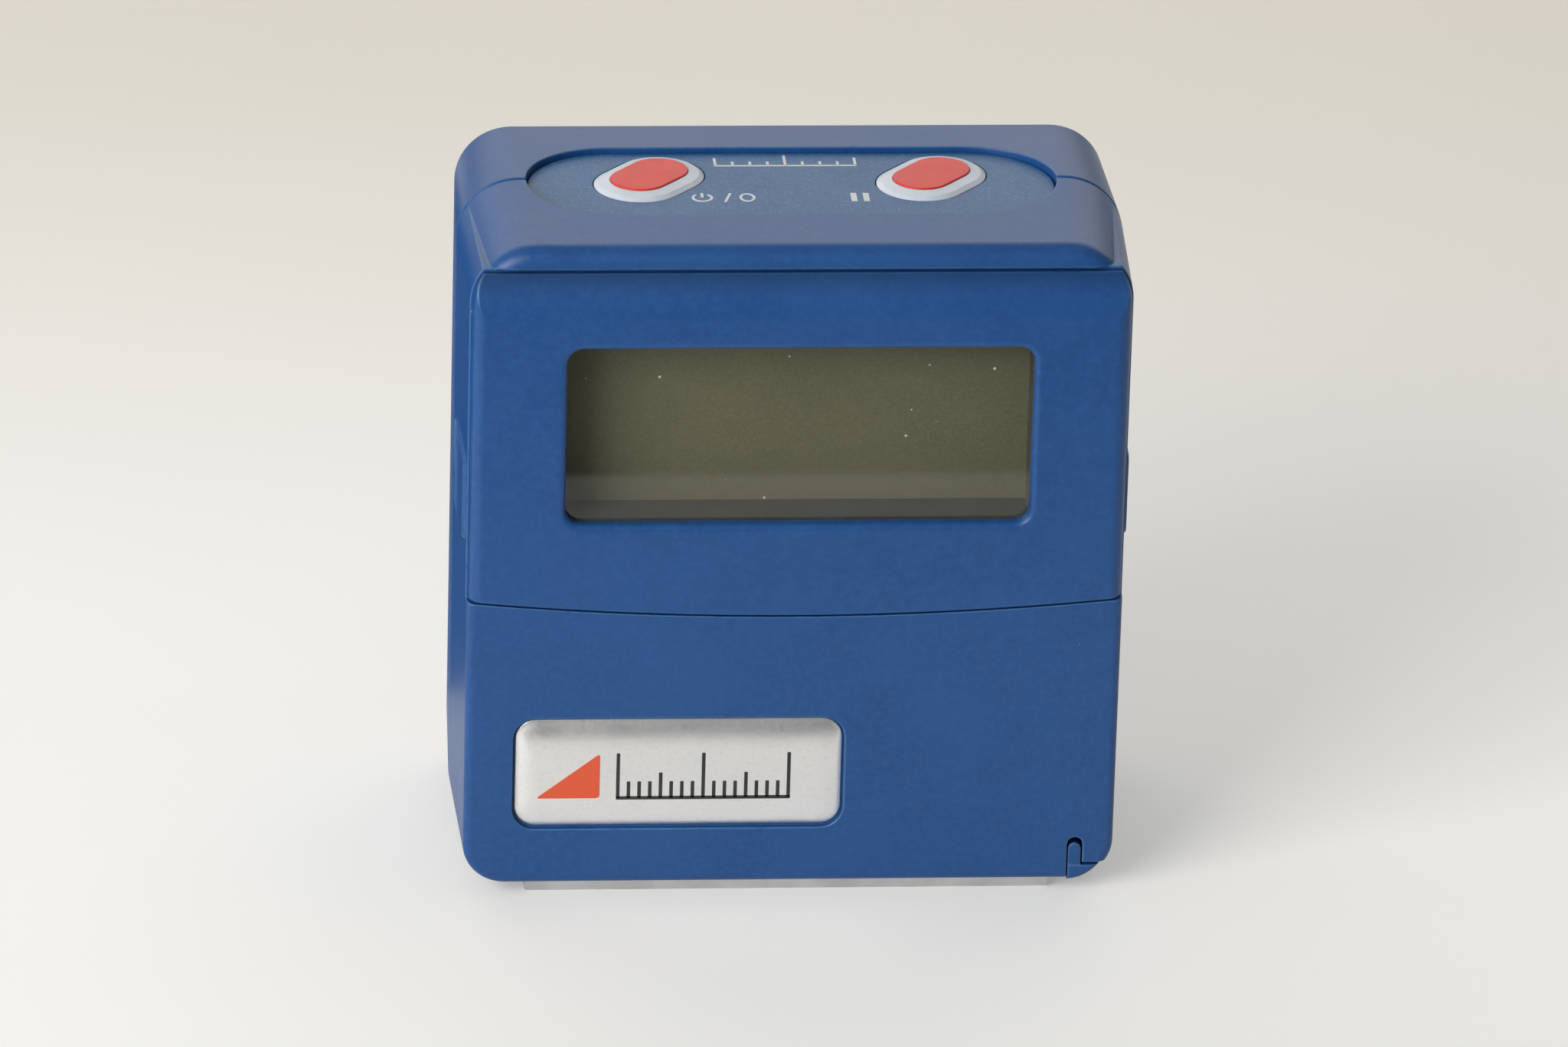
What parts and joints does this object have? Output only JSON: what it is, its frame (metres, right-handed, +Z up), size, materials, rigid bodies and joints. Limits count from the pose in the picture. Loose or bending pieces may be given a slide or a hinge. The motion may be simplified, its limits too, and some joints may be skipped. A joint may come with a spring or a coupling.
{
  "type": "digital level box",
  "caption": "Small upright digital level box with a display, slanted keys in an oval top panel, a sliding battery door and a flat magnetic metal base.",
  "frame": {"origin": "centre of the base bar's underside, on the surface that the level stands on", "axes": "+X to the user's right, +Y to the back, +Z up; the display faces -Y"},
  "size_m": [0.0628, 0.0326, 0.0657],
  "materials": {
    "case_blue": "fine-grained moulded plastic, satin",
    "bezel_blue": "smooth moulded plastic, satin",
    "keypad_blue": "embossed film, satin",
    "key_white": "polished",
    "key_red": "polished",
    "clear_window": "polished clear plastic",
    "display_glass": "polished glass over a grey-green ground",
    "reflector_foil": "matt foil",
    "label_silver": "satin anodised, bare",
    "base_metal": "extruded and milled",
    "magnet_nickel": "nickel plated",
    "dark_plastic": "moulded",
    "contact_rubber": "silicone rubber",
    "board_green": "solder mask",
    "chip_black": "moulded epoxy",
    "capacitor_metal": "drawn can",
    "screw_steel": "zinc plated",
    "battery_jacket": "lacquered metal jacket, plain",
    "contact_metal": "nickel plated",
    "lead_red": "flexible insulation",
    "lead_black": "flexible insulation"
  },
  "bodies": {
    "housing": {"front_shell": "case_blue", "rear_shell": "case_blue", "display_bezel": "bezel_blue", "display_window": "clear_window", "lcd_cell": "display_glass", "lcd_reflector": "reflector_foil", "lcd_frame": "dark_plastic", "zebra_strips": "contact_rubber", "main_board": "board_green", "microcontroller": "chip_black", "tilt_sensor": "capacitor_metal", "board_capacitors": "capacitor_metal", "board_screws": "screw_steel", "keypad_panel": "keypad_blue", "keypad_board": "board_green", "keypad_header": "dark_plastic", "switch_bodies": "dark_plastic", "label_plate": "label_silver", "base_bar": "base_metal", "base_magnets": "magnet_nickel", "battery_case": "battery_jacket", "battery_terminals": "contact_metal", "battery_contacts": "contact_metal", "contact_holder": "dark_plastic", "battery_lead_plus": "lead_red", "battery_lead_minus": "lead_black", "case_screws": "screw_steel"},
    "on_key_body": {"on_key": "key_white", "on_key_inlay": "key_red", "on_switch_plunger": "dark_plastic"},
    "hold_key_body": {"hold_key": "key_white", "hold_key_inlay": "key_red", "hold_switch_plunger": "dark_plastic"},
    "battery_door_body": {"battery_door": "case_blue"}
  },
  "joints": [
    {"name": "on_key_press", "type": "slide", "parent": "housing", "child": "on_key_body", "axis": [0, 0, -1], "range_m": [0, 0.0004], "stiffness_N_per_m": 1500, "springref_m": -0.0002},
    {"name": "hold_key_press", "type": "slide", "parent": "housing", "child": "hold_key_body", "axis": [0, 0, -1], "range_m": [0, 0.0004], "stiffness_N_per_m": 1500, "springref_m": -0.0002},
    {"name": "battery_door_slide", "type": "slide", "parent": "housing", "child": "battery_door_body", "axis": [0, 0, -1], "range_m": [0, 0.031]}
  ]
}
